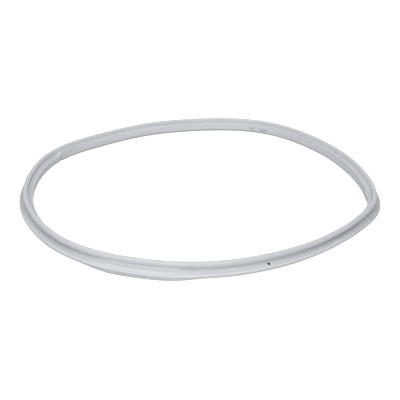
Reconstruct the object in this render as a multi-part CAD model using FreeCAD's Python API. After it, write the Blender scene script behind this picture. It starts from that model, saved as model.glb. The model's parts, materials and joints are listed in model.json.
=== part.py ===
import FreeCAD, Part
import math
import os

# Sealing ring (lid gasket) for a 22 cm stovetop pressure cooker, moulded in one piece of silicone.
# Shown as it leaves the mould: a true circle of one constant section.
# Frame: millimetres, +Z up along the ring's axis, origin on the axis in the seat plane,
# which is the flat foot under the skirt.
#
# The section, from the inside of the ring to the outside:
#   lip    thin inner wall, upright, with a rounded tip
#   trough shallow channel between the lip's tip and the bead
#   bead   round bead that forms the top of the ring
#   groove hollow under the bead, on the outside
#   skirt  flange that flares down and out to the largest diameter
#   relief hollow underneath, between the skirt's foot and the lip's foot

# ---- whole ring -------------------------------------------------------------------------
INNER_DIAMETER = 220.0      # inner wall of the lip
RING_HEIGHT = 8.6           # seat plane to the bead's crest

# ---- bead -------------------------------------------------------------------------------
BEAD_INSET = 5.0            # inner wall to the circle that the bead's centre follows
BEAD_RADIUS = 1.6
BEAD_OUTER_END_DEG = -50.0  # where the bead runs into the groove, from straight outwards
BEAD_INNER_END_DEG = 205.0  # where the bead runs into the trough

# ---- skirt ------------------------------------------------------------------------------
SKIRT_REACH = 4.0           # bead's circle to the skirt's outer edge
SKIRT_EDGE_HEIGHT = 1.45    # upright land round the outer edge
SKIRT_EDGE_RADIUS = 0.45    # rounding above that land
SKIRT_ROOT_REACH = 1.4      # bead's circle to where the skirt leaves the groove
SKIRT_ROOT_RISE = 1.05      # root above the skirt's rounded edge
GROOVE_DEPTH = 0.8          # hollow under the bead, measured from its chord

# ---- lip and trough ---------------------------------------------------------------------
LIP_DROP = 2.8              # tip of the lip below the bead's crest
LIP_TIP_RADIUS = 0.45
TROUGH_DEPTH = 1.1          # measured from the chord between lip and bead
LIP_FOOT_HEIGHT = 0.4       # underside of the lip above the seat plane
LIP_FOOT_WIDTH = 0.9
LIP_CHAMFER_WIDTH = 0.5
LIP_CHAMFER_HEIGHT = 1.0

# ---- underside --------------------------------------------------------------------------
SKIRT_FOOT_WIDTH = 1.7      # flat ring that the part rests on
RELIEF_DEPTH = 1.5          # measured from the chord between the two feet

# ---- vent hole --------------------------------------------------------------------------
VENT_DIAMETER = 1.4
VENT_AZIMUTH_DEG = -69.5    # from +X, anticlockwise seen from above
VENT_FROM_ROOT = 0.25       # hole's centre down the skirt's slope from its root
VENT_OVERRUN = 1.0          # cutter beyond each side of the wall

# ---- worked out from the sizes above ----------------------------------------------------
INNER_RADIUS = INNER_DIAMETER / 2
BEAD_CIRCLE = INNER_RADIUS + BEAD_INSET
OUTER_RADIUS = BEAD_CIRCLE + SKIRT_REACH
BEAD_CENTRE_Z = RING_HEIGHT - BEAD_RADIUS
LIP_TIP_Z = RING_HEIGHT - LIP_DROP
SKIRT_TOP_Z = SKIRT_EDGE_HEIGHT + SKIRT_EDGE_RADIUS


def at(radius, height):
    """A point of the section, which lies in the XZ plane."""
    return FreeCAD.Vector(radius, 0, height)


def polar(centre, radius, degrees):
    """A point on a circle of the section, by its angle above straight outwards."""
    angle = math.radians(degrees)
    return centre + FreeCAD.Vector(radius * math.cos(angle), 0, radius * math.sin(angle))


def line(start, end):
    return Part.LineSegment(start, end).toShape()


def arc(start, middle, end):
    return Part.Arc(start, middle, end).toShape()


def hollow(start, end, depth):
    """An arc from start to end that sinks by depth to the left of its chord."""
    chord = end - start
    left = FreeCAD.Vector(-chord.z, 0, chord.x).normalize()
    return arc(start, (start + end) * 0.5 + left * depth, end)


def section_edges():
    """The closed outline of the section, anticlockwise from the skirt's outer bottom corner."""
    bead = at(BEAD_CIRCLE, BEAD_CENTRE_Z)
    skirt_corner = at(OUTER_RADIUS, 0)
    skirt_land_top = at(OUTER_RADIUS, SKIRT_EDGE_HEIGHT)
    skirt_round = at(OUTER_RADIUS - SKIRT_EDGE_RADIUS, SKIRT_EDGE_HEIGHT)
    skirt_top = polar(skirt_round, SKIRT_EDGE_RADIUS, 90)
    bead_outer = polar(bead, BEAD_RADIUS, BEAD_OUTER_END_DEG)
    bead_crest = polar(bead, BEAD_RADIUS, 90)
    bead_inner = polar(bead, BEAD_RADIUS, BEAD_INNER_END_DEG)
    lip_round = at(INNER_RADIUS + LIP_TIP_RADIUS, LIP_TIP_Z - LIP_TIP_RADIUS)
    lip_outer = polar(lip_round, LIP_TIP_RADIUS, 60)
    lip_crest = polar(lip_round, LIP_TIP_RADIUS, 120)
    lip_inner = polar(lip_round, LIP_TIP_RADIUS, 180)
    wall_bottom = at(INNER_RADIUS, LIP_FOOT_HEIGHT + LIP_CHAMFER_HEIGHT)
    lip_foot_inner = at(INNER_RADIUS + LIP_CHAMFER_WIDTH, LIP_FOOT_HEIGHT)
    lip_foot_outer = at(INNER_RADIUS + LIP_CHAMFER_WIDTH + LIP_FOOT_WIDTH, LIP_FOOT_HEIGHT)
    skirt_foot_inner = at(OUTER_RADIUS - SKIRT_FOOT_WIDTH, 0)
    return [
        line(skirt_corner, skirt_land_top),
        arc(skirt_land_top, polar(skirt_round, SKIRT_EDGE_RADIUS, 45), skirt_top),
        line(skirt_top, skirt_root()),
        hollow(skirt_root(), bead_outer, GROOVE_DEPTH),
        arc(bead_outer, bead_crest, bead_inner),
        hollow(bead_inner, lip_outer, TROUGH_DEPTH),
        arc(lip_outer, lip_crest, lip_inner),
        line(lip_inner, wall_bottom),
        line(wall_bottom, lip_foot_inner),
        line(lip_foot_inner, lip_foot_outer),
        hollow(lip_foot_outer, skirt_foot_inner, RELIEF_DEPTH),
        line(skirt_foot_inner, skirt_corner),
    ]


def skirt_root():
    """Where the skirt's sloping top meets the groove."""
    return at(BEAD_CIRCLE + SKIRT_ROOT_REACH, SKIRT_TOP_Z + SKIRT_ROOT_RISE)


def vent_cutter():
    """A pin square to the skirt's slope, long enough to reach the relief underneath."""
    edge = at(OUTER_RADIUS - SKIRT_EDGE_RADIUS, SKIRT_TOP_Z)
    slope = (edge - skirt_root()).normalize()
    mouth = skirt_root() + slope * VENT_FROM_ROOT
    inward = FreeCAD.Vector(slope.z, 0, -slope.x)
    length = mouth.z / -inward.z + VENT_OVERRUN
    pin = Part.makeCylinder(VENT_DIAMETER / 2, length, mouth - inward * VENT_OVERRUN, inward)
    pin.rotate(FreeCAD.Vector(0, 0, 0), FreeCAD.Vector(0, 0, 1), VENT_AZIMUTH_DEG)
    return pin


def sealing_ring():
    """The whole ring: the section turned about +Z, with the vent hole through the skirt."""
    profile = Part.Face(Part.Wire(section_edges()))
    ring = profile.revolve(FreeCAD.Vector(0, 0, 0), FreeCAD.Vector(0, 0, 1), 360)
    return ring.cut(vent_cutter())


def single_solid(shape, name):
    """The shape's one solid; anything else means that the section has gone wrong."""
    if len(shape.Solids) != 1 or not shape.isValid():
        raise ValueError(name + " is not one valid solid")
    return shape.Solids[0]


os.makedirs("parts", exist_ok=True)
ring = single_solid(sealing_ring(), "sealing_ring")
ring.exportStep("parts/sealing_ring.step")
box = ring.optimalBoundingBox(False, False)
print("sealing_ring", round(ring.Volume, 1), "mm3, box", round(box.XLength, 2), round(box.YLength, 2),
      round(box.ZLength, 2), "mm, lowest", round(box.ZMin, 3))
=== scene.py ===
import bpy
import json
import math
import numpy as np
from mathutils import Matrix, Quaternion, Vector


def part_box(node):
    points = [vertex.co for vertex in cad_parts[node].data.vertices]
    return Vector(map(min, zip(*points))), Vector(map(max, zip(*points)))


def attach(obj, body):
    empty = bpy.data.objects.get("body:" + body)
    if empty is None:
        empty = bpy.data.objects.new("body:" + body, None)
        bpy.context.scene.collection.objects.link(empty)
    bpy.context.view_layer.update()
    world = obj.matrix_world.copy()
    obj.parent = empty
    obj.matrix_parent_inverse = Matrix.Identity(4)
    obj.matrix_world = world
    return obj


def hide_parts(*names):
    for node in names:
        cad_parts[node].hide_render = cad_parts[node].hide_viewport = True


# The loose sealing ring of a pressure cooker, as it lies on a table after coming out of its
# lid. Its section is close to the moulded ring's, with a taller bead and a deeper groove. It
# is slightly out of round and its skirt has sagged at the front left. Its thin inner lip is
# folded up under the bead along the far side, half open on the right, standing free on the
# left and pressed low in front.
#
# Lengths in the shape code are millimetres; MM turns them into the frame's metres.
# Directions are degrees from +X, anticlockwise seen from above; the front is at 270.
# A stretch of the ring is four directions: where an effect starts, where it is full, up to
# where it stays full, and where it ends.

MM = 0.001
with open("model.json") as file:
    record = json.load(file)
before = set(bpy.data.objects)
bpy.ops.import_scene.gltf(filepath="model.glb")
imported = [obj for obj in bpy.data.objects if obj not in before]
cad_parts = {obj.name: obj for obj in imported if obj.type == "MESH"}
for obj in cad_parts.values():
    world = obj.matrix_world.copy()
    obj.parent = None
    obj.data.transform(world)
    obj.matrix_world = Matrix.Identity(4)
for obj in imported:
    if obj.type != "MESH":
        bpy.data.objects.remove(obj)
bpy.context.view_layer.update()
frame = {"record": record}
mount_sizes = {m["name"]: m["dims"] for m in frame["record"]["mounts"]}

# ---- sizes from the frame -----------------------------------------------------------------
OUTER_RADIUS = mount_sizes["outer_edge"]["r_mm"]
INNER_RADIUS = mount_sizes["inner_wall"]["r_mm"]
SKIRT_EDGE_HEIGHT = mount_sizes["outer_edge"]["length_mm"]
RING_HEIGHT = (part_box("sealing_ring")[1].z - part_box("sealing_ring")[0].z) / MM

# ---- section ------------------------------------------------------------------------------
BEAD_RADIUS = 1.6
BEAD_INSET = 5.0             # inner wall to the bead's circle
BEAD_CIRCLE = INNER_RADIUS + BEAD_INSET
BEAD_FLANK = 0.7             # upright stretch on the bead's outer side
BEAD_OUTER_END = -50.0       # degrees from straight outwards, where the bead meets the groove
GROOVE_DEPTH = 0.95
SKIRT_EDGE_RADIUS = 0.45
SKIRT_ROOT_REACH = 1.4
SKIRT_ROOT_RISE = 1.05
SKIRT_FOOT_WIDTH = 1.7
SLOPE_HOLLOW = 0.06          # the skirt's top is very slightly dished
LIP_TIP_RADIUS = 0.45
LIP_TIP_FROM = 60            # degrees from straight outwards, ends of the tip's rounding
LIP_TIP_TO = 175
LIP_FOOT_HEIGHT = 0.4
LIP_FOOT_WIDTH = 0.9
LIP_CHAMFER_WIDTH = 0.5
LIP_CHAMFER_HEIGHT = 1.0
RELIEF_DEPTH = 1.5
CORNER_SOFTNESS = 0.10       # how far moulded corners are rounded off

# ---- states of the lip --------------------------------------------------------------------
# 0 is folded up under the bead, 0.5 half open, 1 standing free and 2 pressed down low.
LIP_STATES = [0, 0.5, 1, 2]
LIP_TIP_OUT = [-3.75, -4.3, -4.35, -3.7]       # centre of the tip's rounding, from the bead
LIP_TIP_UP = [6.25, 5.3, 4.7, 3.9]             # its height
TROUGH_DEPTH = [0.25, 0.35, 0.85, 0.8]
BEAD_INNER_END = [186.0, 188.0, 206.0, 212.0]  # degrees, where the bead meets the trough

RIGHT_OPENING = 0.5          # state of the lip on the right
FOLDS_UP = (10, 52)          # directions from half open to folded up
SPRINGS_OPEN = (150.5, 155)  # from folded up to standing free
SINKS_LOW = (188, 208)       # from standing free to pressed low
RISES_AGAIN = (352, 360)     # from pressed low to half open
FOLDED_AT = 100              # a direction where the lip is folded up
LOW_AT = 270                 # a direction where it is pressed low

# ---- sagged skirt and stretched groove ----------------------------------------------------
SAGGED_STRETCH = (234, 247, 261, 273)
FOOT_SPREAD = 1.6            # foot pushed outwards
EDGE_SPREAD = 0.9            # rounded edge pushed outwards
EDGE_SAG = 0.7               # rounded edge lowered
SLOPE_SAG = 0.16             # extra dish in the skirt's top
PULLED_STRETCH = (226, 244, 282, 306)
GROOVE_SHALLOWER = 0.45      # share of the groove's depth that goes where it is pulled open
BEAD_SHORTER = 22.0          # degrees of the bead that go with it

# ---- how the loose ring lies --------------------------------------------------------------
FRONT_LIFT = 1.4             # the warped ring stands off the table at the front
PRESSED = 0.12               # share of its height that the section loses at the front right
PRESSED_STRETCH = (292, 318, 330, 345)
RAISED = 0.025               # and gains at the front
RAISED_STRETCH = (212, 230, 285, 302)
# Waves in the plan: waves round the ring, height, direction of a crest.
PLAN_WAVES = [(2, 4.15, 60), (3, 0.4, -42), (4, 2.1, -18), (5, 0.95, -2.5), (6, 0.4, -10),
              (8, 0.3, 21), (9, 0.4, -10.5)]
# Swell and dent that sharpen the turn on the right: direction, reach in degrees, height.
PLAN_TURN = [(349, 5, 0.4), (334, 6, -0.5)]

# ---- features of the inner wall -----------------------------------------------------------
WALL_FADE = (0.9, 2.4)       # from the inner wall outwards, where they fade out
KINK_AT = 152.3              # notch where the folded lip springs open
KINK_WIDTH = 0.5             # in degrees
KINK_DEPTH = 0.8
KINK_TOP = (2.2, 4.6)        # heights over which the notch runs out
CORNER_TUCK = 0.5            # foot of the lip drawn outwards at the sharp turn on the right
CORNER_STRETCH = (340, 347, 351, 355)
WALL_SPREAD = 0.5            # and pushed inwards beside it
SPREAD_STRETCH = (352, 358, 384, 398)
BENT_TOP = (1.0, 5.0)        # heights over which that bend runs out
MARK_DEPTH = 0.28            # two plain moulded recesses
MARK_SIDE = 0.3              # degrees over which a recess runs out sideways
MARK_END = 0.25              # and millimetres over which it does upwards and downwards
MOULD_MARKS = [              # direction, half width in degrees, lean in degrees per mm, bottom, top
    (71.0, 0.85, 0.0, 2.1, 3.7), (66.3, 1.1, -0.4, 2.0, 3.6)]

# ---- vent hole ----------------------------------------------------------------------------
VENT_AZIMUTH = 290.9
VENT_RADIUS = 0.9
VENT_REACH = 1.6             # outwards from the bead's circle
VENT_HEIGHT = 2.65           # above the ring's seat
VENT_SLOPE = (0.9, -0.44)    # direction of the skirt's top, outwards and up
VENT_CUT = 3.6               # half length of the cutter
VENT_SIDES = 40

# ---- fineness of the mesh -----------------------------------------------------------------
SPANS = [                    # directions from and to, and the step between sections
    (0, 60, 0.75), (60, 74, 0.125), (74, 148, 0.75), (148, 158, 0.125),
    (158, 288, 0.75), (288, 293, 0.1), (293, 360, 0.75)]
PARTS = [                    # parts of the section, and the points kept on each
    ("edge", 6), ("edge_round", 5), ("slope", 8), ("groove", 12), ("bead_low", 6), ("bead", 16),
    ("trough", 11), ("lip_tip", 6), ("wall", 17), ("chamfer", 4), ("lip_foot", 3),
    ("relief", 10), ("skirt_foot", 4)]
POINTS = sum(count for _, count in PARTS)
FINE = 24                    # points on each part before the corners are softened
SAMPLES = 1024               # points on the whole outline while they are softened
SHARP_EDGE = 40              # degrees between faces that stay a crisp edge

# ---- tone of the silicone, with painted shade and painted highlights ----------------------
# A tone runs from 0, light and milky, to 1, dark. The plain tone is the silicone's own. The
# strengths added to it are painted shade, and a negative one lightens: painted light and painted
# highlights. A patch is a place in the section, out from the bead's circle and up from the seat,
# and a reach. A pair is the range over which a tone comes in or goes.
PLAIN_TONE = 0.3
SAG_RANGE = (0.5, 1.0)       # of the skirt's droop

# Painted shade in the groove, heavier at the right and left turns and lighter where the skirt sags,
# painted shade in its two creases there, and painted light on its root in front.
GROOVE_PATCH = (0.6, 4.3, 0.75)
GROOVE_PAINTED_SHADE = 0.25
GROOVE_RIGHT = (0.75, (298, 330, 352, 364))    # extra strength, and its stretch of the ring
GROOVE_LEFT = (0.45, (190, 205, 222, 240))
GROOVE_SAGGED = -0.4
CREASE_PATCHES = [(1.2, 3.2, 0.35), (1.3, 5.3, 0.35)]
CREASE_PAINTED_SHADE = 0.12
ROOT_PATCH = (1.9, 2.7, 0.6)
ROOT_FRONT = (-0.14, (262, 280, 298, 318))

# Painted shade on the slope at the two turns, painted light on it where the skirt sags, painted shade on
# the end face, and a painted highlight along the rounded edge.
SLOPE_OUT = (1.5, 2.4)
SLOPE_UP = (1.2, 1.7)
SLOPE_RIGHT = (0.2, (318, 340, 350, 362))
SLOPE_LEFT = (0.15, (165, 180, 196, 212))
SLOPE_SAGGED = -0.16
END_FACE_OUT = (3.6, 4.0)
END_FACE_UP = (0.5, 1.3)
END_FACE_PAINTED_SHADE = 0.2
END_FACE_SAGGED = 0.1
EDGE_LINE_PATCH = (3.8, 1.9, 0.45)
EDGE_PAINTED_HIGHLIGHT = -0.2

# Painted shade at the inner wall's foot, in its recesses and in the notch, and painted light high up
# along the far side.
WALL_OUT = (-4.4, -3.6)
WALL_FOOT_UP = (0.9, 1.9)
WALL_FOOT_PAINTED_SHADE = 0.5
WALL_TOP_UP = (2.0, 5.5)
WALL_TOP_FAR = (-0.06, (30, 60, 125, 150))
WALL_TOP_FAR_LEFT = (-0.08, (95, 108, 140, 149))
MARK_RANGE = (0.05, 0.25)    # of a recess's depth
MARK_PAINTED_SHADE = 0.28
KINK_PAINTED_SHADE = 0.35

RIDGE_RISE = 0.35            # painted highlight on the open lip, above the centre of its rounding
RIDGE_REACH = 0.45
RIDGE_PAINTED_HIGHLIGHT = -0.2
RIDGE_RANGE = (0.5, 1.0)     # of the lip's state
# Painted shade in the trough behind the folded lip.
TROUGH_PATCH = (-2.2, 6.2, 0.6)
TROUGH_PAINTED_SHADE = 0.12
TROUGH_RANGE = (0.3, 0.8)    # of the lip's state

# ---- materials, with lengths in metres ----------------------------------------------------
# The silicone's colour runs from the first to the second with the tone stored on the ring, which adds
# painted shade and painted highlights to the plain tone.
LIGHT_COLOUR = (0.465, 0.482, 0.502, 1)
DARK_COLOUR = (0.15, 0.16, 0.174, 1)
SILICONE_IOR = 1.41
SCATTER_WEIGHT = 0.3
SCATTER_RADIUS = (1.0, 0.95, 0.9)
SCATTER_DEPTH = 0.0012
CLOUD_SCALE = 60             # soft clouds in the tone
CLOUD_DETAIL = 3
CLOUD_SWING = 0.05
GRAIN_SCALE = 900            # fine grain in the tone
GRAIN_DETAIL = 2
GRAIN_SWING = 0.03
SATIN_SCALE = 240
SATIN_DETAIL = 4
SATIN_ROUGHNESS = (0.44, 0.6)
SKIN_SCALE = 800             # tiny unevenness of the moulded skin
SKIN_DETAIL = 3
SKIN_STRENGTH = 0.08
SKIN_HEIGHT = 0.00005
# Painted shade: a nearly black wall stands in for the shadow inside the vent hole.
VENT_PAINTED_SHADE_COLOUR = (0.006, 0.006, 0.007, 1)
VENT_ROUGHNESS = 0.8
TABLE_COLOUR = (0.45, 0.45, 0.45, 1)
TABLE_ROUGHNESS = 0.9
TABLE_GLOW = 0.75
WHITE = (1, 1, 1, 1)

# ---- stage, in metres ---------------------------------------------------------------------
TABLE_HALF = 3.0
WORLD_STRENGTH = 0.8
LIGHTS = [                   # name, place, side of the square, power
    ("front", (0.0, -1.4, 0.5), 0.8, 16.3),
    ("top", (0.0, 0.0, 1.5), 0.8, 7.0),
    ("front_left", (-0.4, -0.45, 0.5), 0.4, 0.85),
    ("back", (0.0, 1.2, 0.8), 0.8, 2.1)]
CAMERA_ELEVATION = 24.29     # degrees
CAMERA_ROLL = 0.814
CAMERA_DISTANCE = 0.8
CAMERA_LENS = 108.66         # millimetres, like the sensor
CAMERA_SENSOR = 36
CAMERA_SHIFT = (0.0033, -0.0169)


def smooth(value, low, high):
    """0 below low, 1 above high, and an even S between them."""
    t = np.clip((value - low) / (high - low), 0, 1)
    return t * t * (3 - 2 * t)


def bump(degrees, stretch):
    """1 on the full part of a stretch of the ring, and 0 outside the stretch."""
    rise_from, full_from, full_to, fall_to = stretch
    turned = (degrees - rise_from) % 360 + rise_from
    return smooth(turned, rise_from, full_from) * (1 - smooth(turned, full_to, fall_to))


# ---- outline of one section ---------------------------------------------------------------
def along(start, end, count):
    """Points on a straight line, without its end."""
    t = np.linspace(0, 1, count, endpoint=False)[:, None]
    return np.array(start) * (1 - t) + np.array(end) * t


def turn(centre, radius, from_deg, to_deg, count):
    """Points on an arc, without its end."""
    a = np.radians(np.linspace(from_deg, to_deg, count, endpoint=False))
    return np.array(centre) + radius * np.column_stack([np.cos(a), np.sin(a)])


def hollow(start, end, depth, count):
    """An arc from start to end that sinks by depth to the left of its chord."""
    start, end = np.array(start), np.array(end)
    chord = end - start
    half = np.hypot(*chord) / 2
    left = np.array([-chord[1], chord[0]]) / (2 * half)
    radius = (half * half + depth * depth) / (2 * depth)
    centre = (start + end) / 2 + left * (depth - radius)
    start_angle = math.atan2(*(start - centre)[::-1])
    end_angle = math.atan2(*(end - centre)[::-1])
    sweep = (end_angle - start_angle) % (2 * math.pi) - 2 * math.pi
    a = start_angle + sweep * np.linspace(0, 1, count, endpoint=False)
    return centre + radius * np.column_stack([np.cos(a), np.sin(a)])


def circle_point(centre, radius, degrees):
    a = math.radians(degrees)
    return np.array([centre[0] + radius * math.cos(a), centre[1] + radius * math.sin(a)])


def lip_tip(opening):
    """Centre of the rounding on the lip's tip."""
    return np.interp(opening, LIP_STATES, LIP_TIP_OUT), np.interp(opening, LIP_STATES, LIP_TIP_UP)


def outline(opening, droop, pulled, seat_height):
    """The closed section: x is outwards from the bead's circle, y is up from the ring's seat.

    opening: the state of the lip, from LIP_STATES.
    droop: 0 for the moulded skirt, 1 where the skirt has sagged onto the table.
    pulled: 0 for the moulded groove, 1 where it is pulled open.
    seat_height: the seat above the table there, which the sagged foot makes up.
    """
    reach = OUTER_RADIUS - BEAD_CIRCLE
    bead = np.array([0.0, RING_HEIGHT - BEAD_RADIUS])
    edge_low = np.array([reach + FOOT_SPREAD * droop, -seat_height * droop])
    edge_top = np.array([reach + EDGE_SPREAD * droop, SKIRT_EDGE_HEIGHT - EDGE_SAG * droop])
    edge_round = edge_top - [SKIRT_EDGE_RADIUS, 0]
    slope_top = circle_point(edge_round, SKIRT_EDGE_RADIUS, 90)
    root = np.array([SKIRT_ROOT_REACH, SKIRT_EDGE_HEIGHT + SKIRT_EDGE_RADIUS + SKIRT_ROOT_RISE])
    bead_low = bead - [0, BEAD_FLANK]
    bead_start = BEAD_OUTER_END + BEAD_SHORTER * pulled
    bead_out = circle_point(bead_low, BEAD_RADIUS, bead_start)
    bead_end = np.interp(opening, LIP_STATES, BEAD_INNER_END)
    bead_in = circle_point(bead, BEAD_RADIUS, bead_end)
    tip = np.array(lip_tip(opening))
    tip_out = circle_point(tip, LIP_TIP_RADIUS, LIP_TIP_FROM)
    tip_inner = circle_point(tip, LIP_TIP_RADIUS, LIP_TIP_TO)
    wall_low = np.array([-BEAD_INSET, LIP_FOOT_HEIGHT + LIP_CHAMFER_HEIGHT])
    foot_in = np.array([-BEAD_INSET + LIP_CHAMFER_WIDTH, LIP_FOOT_HEIGHT])
    foot_out = foot_in + [LIP_FOOT_WIDTH, 0]
    skirt_in = edge_low - [SKIRT_FOOT_WIDTH, 0]
    trough = np.interp(opening, LIP_STATES, TROUGH_DEPTH)
    return [
        along(edge_low, edge_top, FINE),
        turn(edge_round, SKIRT_EDGE_RADIUS, 0, 90, FINE),
        hollow(slope_top, root, SLOPE_HOLLOW + SLOPE_SAG * droop, FINE),
        hollow(root, bead_out, GROOVE_DEPTH * (1 - GROOVE_SHALLOWER * pulled), FINE),
        turn(bead_low, BEAD_RADIUS, bead_start, 0, FINE),
        turn(bead, BEAD_RADIUS, 0, bead_end, FINE),
        hollow(bead_in, tip_out, trough, FINE),
        turn(tip, LIP_TIP_RADIUS, LIP_TIP_FROM, LIP_TIP_TO, FINE),
        along(tip_inner, wall_low, FINE),
        along(wall_low, foot_in, FINE),
        along(foot_in, foot_out, FINE),
        hollow(foot_out, skirt_in, RELIEF_DEPTH, FINE),
        along(skirt_in, edge_low, FINE),
    ]


def softened(parts):
    """The outline with its corners eased, resampled to the kept number of points."""
    raw = np.vstack(parts)
    closed = np.vstack([raw, raw[:1]])
    length = np.concatenate([[0], np.cumsum(np.hypot(*np.diff(closed, axis=0).T))])
    total = length[-1]
    at = np.linspace(0, total, SAMPLES, endpoint=False)
    x, y = np.interp(at, length, closed[:, 0]), np.interp(at, length, closed[:, 1])
    wave = np.fft.rfftfreq(SAMPLES, total / SAMPLES) * 2 * math.pi
    ease = np.exp(-0.5 * (wave * CORNER_SOFTNESS) ** 2)
    x = np.fft.irfft(np.fft.rfft(x) * ease, SAMPLES)
    y = np.fft.irfft(np.fft.rfft(y) * ease, SAMPLES)
    marks = [length[i * FINE] for i in range(len(parts))] + [total]
    keep = np.concatenate([np.linspace(a, b, n, endpoint=False)
                           for (_, n), a, b in zip(PARTS, marks, marks[1:])])
    at = np.append(at, total)
    return np.column_stack([np.interp(keep, at, np.append(x, x[0])),
                            np.interp(keep, at, np.append(y, y[0]))])


# ---- what changes round the ring ----------------------------------------------------------
def lip_opening(degrees):
    """The lip's state, from LIP_STATES."""
    low = LIP_STATES[-1]
    right = RIGHT_OPENING * (1 - smooth(degrees, *FOLDS_UP))
    left = smooth(degrees, *SPRINGS_OPEN) + smooth(degrees, *SINKS_LOW)
    front_right = low - (low - RIGHT_OPENING) * smooth(degrees, *RISES_AGAIN)
    return np.where(degrees < FOLDED_AT, right, np.where(degrees < LOW_AT, left, front_right))


def lift(degrees):
    """Height of the ring's seat above the table: the ring leans back, nil at the far side."""
    return FRONT_LIFT * (1 - np.sin(np.radians(degrees))) / 2


def height_share(degrees):
    """The section's height as a share of the moulded height."""
    return 1 - PRESSED * bump(degrees, PRESSED_STRETCH) + RAISED * bump(degrees, RAISED_STRETCH)


def spot(value, centre, half_width, edge):
    """1 within half_width of centre, falling to 0 over edge on each side."""
    return 1 - smooth(np.abs(value - centre), half_width, half_width + edge)


def moulded_marks(degrees, height):
    """Depth of the two plain recesses on the inner wall."""
    depth = 0
    for at, half_width, lean, low, high in MOULD_MARKS:
        middle = (low + high) / 2
        across = spot(degrees, at + lean * (height - middle), half_width, MARK_SIDE)
        depth = depth + MARK_DEPTH * across * spot(height, middle, (high - low) / 2, MARK_END)
    return depth


def kink(degrees, height):
    """Depth of the notch where the folded lip springs open."""
    across = np.exp(-((degrees - KINK_AT) / KINK_WIDTH) ** 2)
    return KINK_DEPTH * across * (1 - smooth(height, *KINK_TOP))


def bent_foot(degrees, height):
    """How far the lip's foot is drawn outwards at the sharp turn; inwards, beside it, is negative."""
    bend = CORNER_TUCK * bump(degrees, CORNER_STRETCH) - WALL_SPREAD * bump(degrees, SPREAD_STRETCH)
    return bend * (1 - smooth(height, *BENT_TOP))


def plan(degrees):
    """The bead's circle as the loose ring lies: point and outward normal."""
    a = np.radians(degrees)
    radius = np.full_like(a, BEAD_CIRCLE)
    slope = np.zeros_like(a)
    for waves, height, crest in PLAN_WAVES:
        phase = waves * (a - math.radians(crest))
        radius += height * np.cos(phase)
        slope -= waves * height * np.sin(phase)
    for at, reach, height in PLAN_TURN:
        offset = (degrees - at + 180) % 360 - 180
        swell = height * np.exp(-(offset / reach) ** 2)
        radius += swell
        slope -= swell * np.degrees(2 * offset / reach ** 2)
    ray = np.column_stack([np.cos(a), np.sin(a)])
    side = np.column_stack([-np.sin(a), np.cos(a)])
    tangent = slope[:, None] * ray + radius[:, None] * side
    tangent /= np.linalg.norm(tangent, axis=1)[:, None]
    return radius[:, None] * ray, np.column_stack([tangent[:, 1], -tangent[:, 0]])


def azimuths():
    """Directions of the sections, closer together where the ring has small features."""
    return np.concatenate([np.arange(start, end, step) for start, end, step in SPANS])


# ---- tone of the silicone, with painted shade and painted highlights ----------------------
def patch(out, up, centre_out, centre_up, reach):
    """1 at a place in the section, falling off evenly over its reach in every direction."""
    return np.exp(-((out - centre_out) ** 2 + (up - centre_up) ** 2) / reach ** 2)


def on_stretch(degrees, tone):
    """A strength of painted shade on its stretch of the ring; a negative one is painted light."""
    strength, stretch = tone
    return strength * bump(degrees, stretch)


def groove_painted_shade(degrees, out, up, droop):
    """Painted shade in the groove, darkest at the right and left turns, and in its two creases where the
    skirt sags; painted light on its root.
    """
    sagged = smooth(droop, *SAG_RANGE)
    strength = (GROOVE_PAINTED_SHADE + on_stretch(degrees, GROOVE_RIGHT) + on_stretch(degrees, GROOVE_LEFT)
                + GROOVE_SAGGED * sagged)
    creases = sum(patch(out, up, *crease) for crease in CREASE_PATCHES)
    root = patch(out, up, *ROOT_PATCH) * on_stretch(degrees, ROOT_FRONT)
    return patch(out, up, *GROOVE_PATCH) * strength + creases * CREASE_PAINTED_SHADE * sagged + root


def skirt_painted_shade_and_highlight(degrees, out, up, droop):
    """Painted shade on the slope at the two turns, painted light where it sags, painted shade on the end
    face, and a painted highlight along the rounded edge.
    """
    slope = smooth(out, *SLOPE_OUT) * smooth(up, *SLOPE_UP) * (
        on_stretch(degrees, SLOPE_RIGHT) + on_stretch(degrees, SLOPE_LEFT) + SLOPE_SAGGED * droop)
    end_face = smooth(out, *END_FACE_OUT) * (1 - smooth(up, *END_FACE_UP)) * (
        END_FACE_PAINTED_SHADE + END_FACE_SAGGED * droop)
    line_out, line_up, line_reach = EDGE_LINE_PATCH
    edge_line = patch(out, up, line_out + EDGE_SPREAD * droop, line_up - EDGE_SAG * droop, line_reach)
    return slope + end_face + edge_line * EDGE_PAINTED_HIGHLIGHT


def wall_painted_shade_and_light(degrees, out, up):
    """Inner wall: painted shade at the foot, in the recesses and in the notch, and painted light high up
    along the far side.
    """
    foot = (1 - smooth(up, *WALL_FOOT_UP)) * WALL_FOOT_PAINTED_SHADE
    top = smooth(up, *WALL_TOP_UP) * (
        on_stretch(degrees, WALL_TOP_FAR) + on_stretch(degrees, WALL_TOP_FAR_LEFT))
    marks = smooth(moulded_marks(degrees, up), *MARK_RANGE) * MARK_PAINTED_SHADE
    notch = kink(degrees, up) / KINK_DEPTH * KINK_PAINTED_SHADE
    return (1 - smooth(out, *WALL_OUT)) * (foot + top + marks + notch)


def lip_painted_highlight_and_shade(out, up, opening):
    """Painted highlight on the tip of the open lip, and painted shade in the trough behind the folded
    lip.
    """
    tip_out, tip_up = lip_tip(opening)
    ridge = patch(out, up, tip_out, tip_up + RIDGE_RISE, RIDGE_REACH) * smooth(opening, *RIDGE_RANGE)
    trough = patch(out, up, *TROUGH_PATCH) * (1 - smooth(opening, *TROUGH_RANGE))
    return ridge * RIDGE_PAINTED_HIGHLIGHT + trough * TROUGH_PAINTED_SHADE


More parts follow.
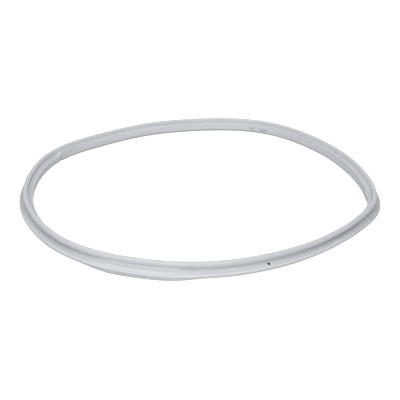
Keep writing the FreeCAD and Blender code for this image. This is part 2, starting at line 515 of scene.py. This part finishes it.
# ---- ring ---------------------------------------------------------------------------------
def ring_points(degrees):
    """Points of all sections in millimetres, and the silicone's tone at each of them, with painted shade
    and painted highlights.
    """
    centre, normal = plan(degrees)
    opening = lip_opening(degrees)
    droop = bump(degrees, SAGGED_STRETCH)
    pulled = bump(degrees, PULLED_STRETCH)
    seat_height = lift(degrees)
    states = zip(opening, droop, pulled, seat_height)
    sections = np.array([softened(outline(*state)) for state in states])
    out, up = sections[:, :, 0], sections[:, :, 1]
    across, opening, droop = degrees[:, None], opening[:, None], droop[:, None]
    fade_from, fade_to = WALL_FADE
    inside = 1 - smooth(out, fade_from - BEAD_INSET, fade_to - BEAD_INSET)
    out = out + inside * (moulded_marks(across, up) + kink(across, up) + bent_foot(across, up))
    xy = centre[:, None, :] + out[:, :, None] * normal[:, None, :]
    above_seat = np.maximum(up, 0) * height_share(across) + np.minimum(up, 0)
    points = np.concatenate([xy, (above_seat + seat_height[:, None])[:, :, None]], axis=2)
    # The plain tone plus painted shade and painted highlights.
    tone = (PLAIN_TONE + groove_painted_shade(across, out, up, droop) + skirt_painted_shade_and_highlight(across, out, up, droop)
            + wall_painted_shade_and_light(across, out, up) + lip_painted_highlight_and_shade(out, up, opening))
    return points, tone


def new_object(name, data):
    """An object in the scene."""
    thing = bpy.data.objects.new(name, data)
    bpy.context.scene.collection.objects.link(thing)
    return thing


def mesh_object(name, vertices, faces):
    mesh = bpy.data.meshes.new(name)
    mesh.from_pydata(vertices, [], faces)
    return new_object(name, mesh)


def swept_ring():
    """The ring before drilling: one closed mesh, with its tone, painted shade and highlights included, in
    the attribute shade.
    """
    degrees = azimuths()
    points, tone = ring_points(degrees)
    index = np.arange(len(degrees) * POINTS).reshape(len(degrees), POINTS)
    ahead = np.roll(index, -1, axis=0)
    faces = np.stack([index, ahead, np.roll(ahead, -1, axis=1), np.roll(index, -1, axis=1)], axis=-1)
    ring = mesh_object("silicone_ring", (points.reshape(-1, 3) * MM).tolist(),
                       faces.reshape(-1, 4).tolist())
    ring.data.attributes.new("shade", "FLOAT", "POINT").data.foreach_set("value", tone.ravel())
    return ring


def vent_cutter():
    """A pin square to the skirt's slope, long enough to reach the relief underneath."""
    degrees = np.array([VENT_AZIMUTH])
    centre, normal = plan(degrees)
    outwards = Vector((*normal[0], 0))
    slope = (outwards * VENT_SLOPE[0] + Vector((0, 0, VENT_SLOPE[1]))).normalized()
    side = Vector((0, 0, 1)).cross(outwards)
    axis = slope.cross(side)
    mouth = Vector((*centre[0], lift(degrees)[0] + VENT_HEIGHT)) + outwards * VENT_REACH
    turns = np.linspace(0, 2 * math.pi, VENT_SIDES, endpoint=False)
    rims = [mouth + axis * depth + (slope * math.cos(a) + side * math.sin(a)) * VENT_RADIUS
            for depth in (-VENT_CUT, VENT_CUT) for a in turns]
    first_rim = list(range(VENT_SIDES))
    second_rim = list(range(VENT_SIDES, 2 * VENT_SIDES))
    walls = [[i, (i + 1) % VENT_SIDES, (i + 1) % VENT_SIDES + VENT_SIDES, i + VENT_SIDES]
             for i in first_rim]
    return mesh_object("vent_cutter", [point * MM for point in rims],
                       walls + [first_rim[::-1], second_rim])


def drill(ring, cutter, painted_shade_material):
    """Cut the vent hole and give its wall a material of its own, nearly black with painted shade."""
    cutter.data.materials.append(painted_shade_material)
    cut = ring.modifiers.new("vent", "BOOLEAN")
    cut.operation = "DIFFERENCE"
    cut.solver = "EXACT"
    cut.material_mode = "TRANSFER"
    cut.object = cutter
    drilled = bpy.data.meshes.new_from_object(ring.evaluated_get(bpy.context.evaluated_depsgraph_get()))
    ring.modifiers.clear()
    ring.data = drilled
    bpy.data.objects.remove(cutter)


def smooth_shading(ring):
    ring.data.polygons.foreach_set("use_smooth", [True] * len(ring.data.polygons))
    ring.data.set_sharp_from_angle(angle=math.radians(SHARP_EDGE))


# ---- materials ----------------------------------------------------------------------------
def new_material(name):
    """A material with nodes, and its shader."""
    material = bpy.data.materials.new(name)
    material.use_nodes = True
    return material, material.node_tree.nodes["Principled BSDF"]


def silicone():
    """Milky silicone: soft light inside, a satin moulded skin, and the tone stored on the ring, with its
    painted shade and painted highlights.
    """
    material, shader = new_material("silicone")
    nodes, links = material.node_tree.nodes, material.node_tree.links
    shader.inputs["IOR"].default_value = SILICONE_IOR
    shader.inputs["Subsurface Weight"].default_value = SCATTER_WEIGHT
    shader.inputs["Subsurface Radius"].default_value = SCATTER_RADIUS
    shader.inputs["Subsurface Scale"].default_value = SCATTER_DEPTH

    place = nodes.new("ShaderNodeTexCoord")

    def noise(scale, detail):
        texture = nodes.new("ShaderNodeTexNoise")
        texture.inputs["Scale"].default_value = scale
        texture.inputs["Detail"].default_value = detail
        links.new(place.outputs["Object"], texture.inputs["Vector"])
        return texture.outputs["Fac"]

    def remap(value, low, high):
        span = nodes.new("ShaderNodeMapRange")
        span.inputs["To Min"].default_value = low
        span.inputs["To Max"].default_value = high
        links.new(value, span.inputs["Value"])
        return span.outputs["Result"]

    def add(first, second):
        node = nodes.new("ShaderNodeMath")
        node.operation = "ADD"
        links.new(first, node.inputs[0])
        links.new(second, node.inputs[1])
        return node.outputs["Value"]

    # The stored tone, which holds painted shade and painted highlights.
    shade = nodes.new("ShaderNodeAttribute")
    shade.attribute_name = "shade"
    cloudy = remap(noise(CLOUD_SCALE, CLOUD_DETAIL), -CLOUD_SWING, CLOUD_SWING)
    grain = remap(noise(GRAIN_SCALE, GRAIN_DETAIL), -GRAIN_SWING, GRAIN_SWING)
    colour = nodes.new("ShaderNodeMix")
    colour.data_type = "RGBA"
    colour.inputs["A"].default_value = LIGHT_COLOUR
    colour.inputs["B"].default_value = DARK_COLOUR
    links.new(add(shade.outputs["Fac"], add(cloudy, grain)), colour.inputs["Factor"])
    links.new(colour.outputs["Result"], shader.inputs["Base Color"])

    satin = remap(noise(SATIN_SCALE, SATIN_DETAIL), *SATIN_ROUGHNESS)
    links.new(satin, shader.inputs["Roughness"])
    skin = nodes.new("ShaderNodeBump")
    skin.inputs["Strength"].default_value = SKIN_STRENGTH
    skin.inputs["Distance"].default_value = SKIN_HEIGHT
    links.new(noise(SKIN_SCALE, SKIN_DETAIL), skin.inputs["Height"])
    links.new(skin.outputs["Normal"], shader.inputs["Normal"])
    return material


def vent_inside():
    """Nearly black wall of the vent hole, painted shade for the shadow inside it."""
    material, shader = new_material("vent_inside")
    shader.inputs["Base Color"].default_value = VENT_PAINTED_SHADE_COLOUR
    shader.inputs["Roughness"].default_value = VENT_ROUGHNESS
    return material


def table_white():
    """Plain white that glows."""
    material, shader = new_material("table_white")
    shader.inputs["Base Color"].default_value = TABLE_COLOUR
    shader.inputs["Roughness"].default_value = TABLE_ROUGHNESS
    shader.inputs["Specular IOR Level"].default_value = 0.0
    shader.inputs["Emission Color"].default_value = WHITE
    shader.inputs["Emission Strength"].default_value = TABLE_GLOW
    return material


# ---- stage --------------------------------------------------------------------------------
def floor():
    """The table, which sends no light to the ring and throws no shadow."""
    half = TABLE_HALF
    corners = [(-half, -half, 0), (half, -half, 0), (half, half, 0), (-half, half, 0)]
    table = mesh_object("table", corners, [(0, 1, 2, 3)])
    table.data.materials.append(table_white())
    table.visible_diffuse = False
    table.visible_glossy = False
    table.visible_transmission = False
    table.visible_shadow = False


def camera():
    elevation = math.radians(CAMERA_ELEVATION)
    data = bpy.data.cameras.new("camera")
    data.sensor_width = CAMERA_SENSOR
    data.lens = CAMERA_LENS
    data.shift_x, data.shift_y = CAMERA_SHIFT
    data.dof.use_dof = False
    cam = new_object("camera", data)
    cam.location = (0, -CAMERA_DISTANCE * math.cos(elevation), CAMERA_DISTANCE * math.sin(elevation))
    cam.rotation_mode = "QUATERNION"
    look = (-cam.location).to_track_quat("-Z", "Y")
    cam.rotation_quaternion = look @ Quaternion((0, 0, 1), math.radians(CAMERA_ROLL))
    bpy.context.scene.camera = cam


def area_light(name, place, size, power):
    """A square lamp that faces the middle of the ring."""
    data = bpy.data.lights.new(name, "AREA")
    data.shape = "SQUARE"
    data.size = size
    data.energy = power
    light = new_object(name, data)
    light.location = place
    light.rotation_euler = (-light.location).to_track_quat("-Z", "Y").to_euler()


def lighting():
    world = bpy.data.worlds.new("studio")
    world.use_nodes = True
    background = world.node_tree.nodes["Background"]
    background.inputs["Color"].default_value = WHITE
    background.inputs["Strength"].default_value = WORLD_STRENGTH
    bpy.context.scene.world = world
    bpy.context.scene.view_settings.view_transform = "Standard"
    for name, place, size, power in LIGHTS:
        area_light(name, place, size, power)


camera()
lighting()
floor()
ring = swept_ring()
ring.data.materials.append(silicone())
drill(ring, vent_cutter(), vent_inside())
smooth_shading(ring)
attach(ring, "root")
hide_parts("sealing_ring")
